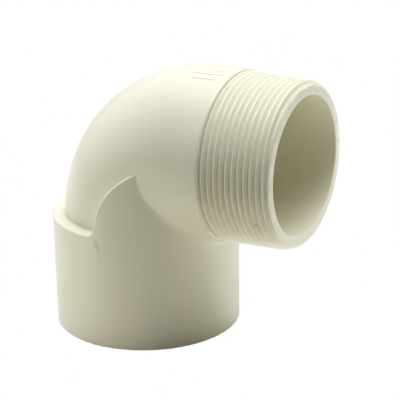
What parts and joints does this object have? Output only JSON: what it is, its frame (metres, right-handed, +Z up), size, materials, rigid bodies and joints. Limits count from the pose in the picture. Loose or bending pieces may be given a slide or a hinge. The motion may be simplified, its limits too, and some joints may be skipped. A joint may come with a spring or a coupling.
{
  "type": "pvc street elbow pipe fitting",
  "caption": "White PVC elbow that turns a pipe run through a right angle, with a solvent-weld pipe socket at one end and a male taper pipe thread at the other.",
  "frame": {"origin": "on the socket's mouth plane, under the middle of the outer box", "axes": "+X along the threaded spigot, pointing out of it; +Z up, against the socket, which opens along -Z; +Y across the fitting, which is the same on both sides apart from the thread's hand and the raised marks"},
  "size_m": [0.0986, 0.068, 0.0981],
  "materials": {
    "pvc": "injection-moulded rigid PVC, warm cream white, semi-gloss with a faint mould texture"
  },
  "bodies": {
    "root": {"socket_body": "pvc", "bend_tube": "pvc", "threaded_spigot": "pvc", "mould_bar_1": "pvc", "mould_bar_2": "pvc", "mould_bar_3": "pvc", "mould_dot": "pvc"}
  },
  "joints": []
}
